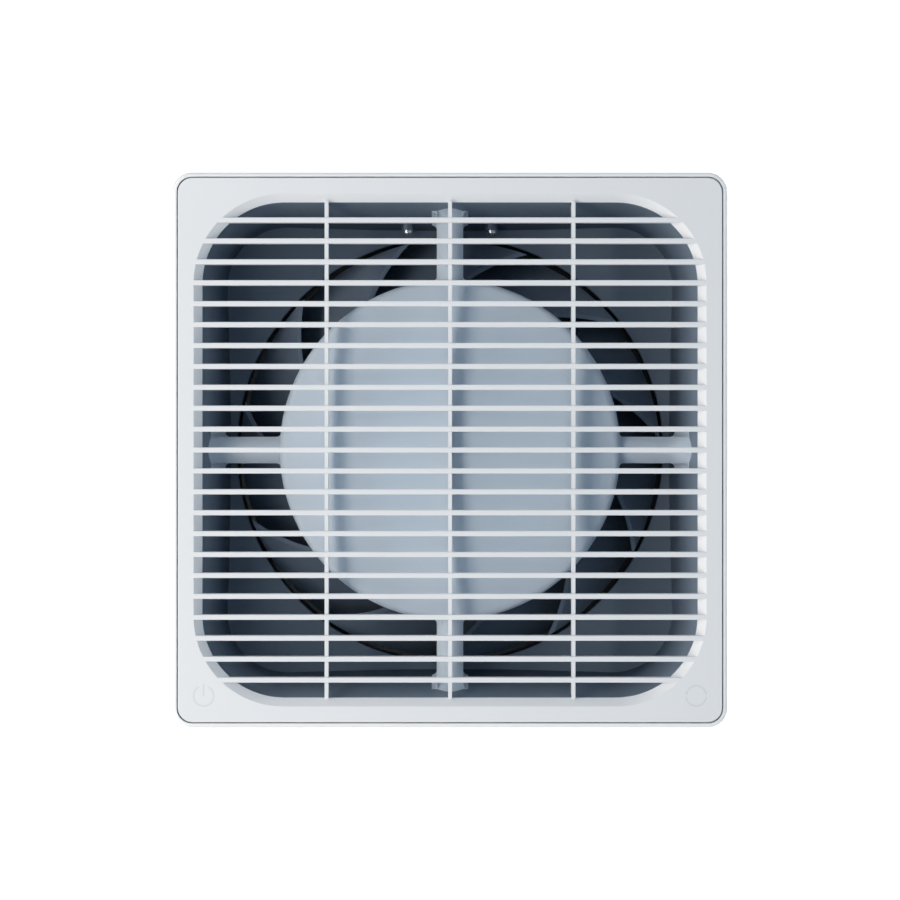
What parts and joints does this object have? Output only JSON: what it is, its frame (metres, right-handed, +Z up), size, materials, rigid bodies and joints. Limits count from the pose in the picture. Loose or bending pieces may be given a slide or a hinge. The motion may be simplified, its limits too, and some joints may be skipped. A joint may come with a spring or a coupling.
{
  "type": "box fan",
  "caption": "Compact square box fan: white casing, slatted front over a tapered dark duct, domed motor disc on cross arms, bladed impeller, round rear guard.",
  "frame": {"origin": "centre of the casing's outline seen from above, on the surface that the rubber feet stand on", "axes": "+Z up, -Y out of the slatted front, +X to the right as seen from the front"},
  "size_m": [0.26, 0.12, 0.2615],
  "materials": {
    "white_shell": "fine satin moulded plastic",
    "light_panel": "fine satin moulded plastic",
    "symbol": "translucent light-guide plastic",
    "bracket_plastic": "satin moulded plastic",
    "dark_plastic": "fine-grained moulded plastic",
    "shroud_plastic": "matte black moulded plastic",
    "impeller_plastic": "glass-filled moulded plastic",
    "guard_plastic": "satin moulded plastic",
    "black_plastic": "satin moulded plastic",
    "screw_steel": "bright zinc plate",
    "steel": "ground steel",
    "ferrite": "sintered ferrite",
    "copper": "enamelled winding wire",
    "brass": "turned brass",
    "circuit_board": "solder mask",
    "components": "moulded packages and sleeves",
    "lead_sleeve": "soft cable sleeve",
    "foam": "closed-cell foam",
    "foot_rubber": "matte rubber"
  },
  "bodies": {
    "housing": {"air_duct": "dark_plastic", "arm_screws": "screw_steel", "bearing_tube": "brass", "board_screws": "screw_steel", "board_standoffs": "black_plastic", "control_board": "circuit_board", "control_board_parts": "components", "cover_screws": "screw_steel", "duct_gasket": "foam", "duct_screws": "screw_steel", "fan_shroud": "shroud_plastic", "feet": "foot_rubber", "front_bearing": "steel", "front_grille": "light_panel", "grille_screws": "screw_steel", "guard_screws": "screw_steel", "inlet_pins": "brass", "inlet_ring": "dark_plastic", "mode_symbol": "symbol", "motor_board": "circuit_board", "motor_board_parts": "components", "motor_board_screws": "screw_steel", "motor_bracket": "bracket_plastic", "motor_lead": "lead_sleeve", "outer_shell": "white_shell", "power_board": "circuit_board", "power_board_parts": "components", "power_inlet": "black_plastic", "power_lead": "lead_sleeve", "power_symbol": "symbol", "preload_washer": "steel", "rear_bearing": "steel", "rear_cover": "white_shell", "rear_guard": "guard_plastic", "shroud_screws": "screw_steel", "stator_core": "steel", "stator_windings": "copper", "touch_board_left": "circuit_board", "touch_board_right": "circuit_board", "touch_springs": "steel", "transformer": "ferrite"},
    "rotor": {"impeller": "impeller_plastic", "rotor_cup": "steel", "rotor_magnet": "ferrite", "motor_shaft": "steel", "shaft_clip": "steel", "rotor_screws": "screw_steel"}
  },
  "joints": [
    {"name": "impeller_spin", "type": "hinge", "parent": "housing", "child": "rotor", "pos_m": [0, -0.015, 0.1315], "axis": [0, -1, 0], "continuous": true}
  ]
}
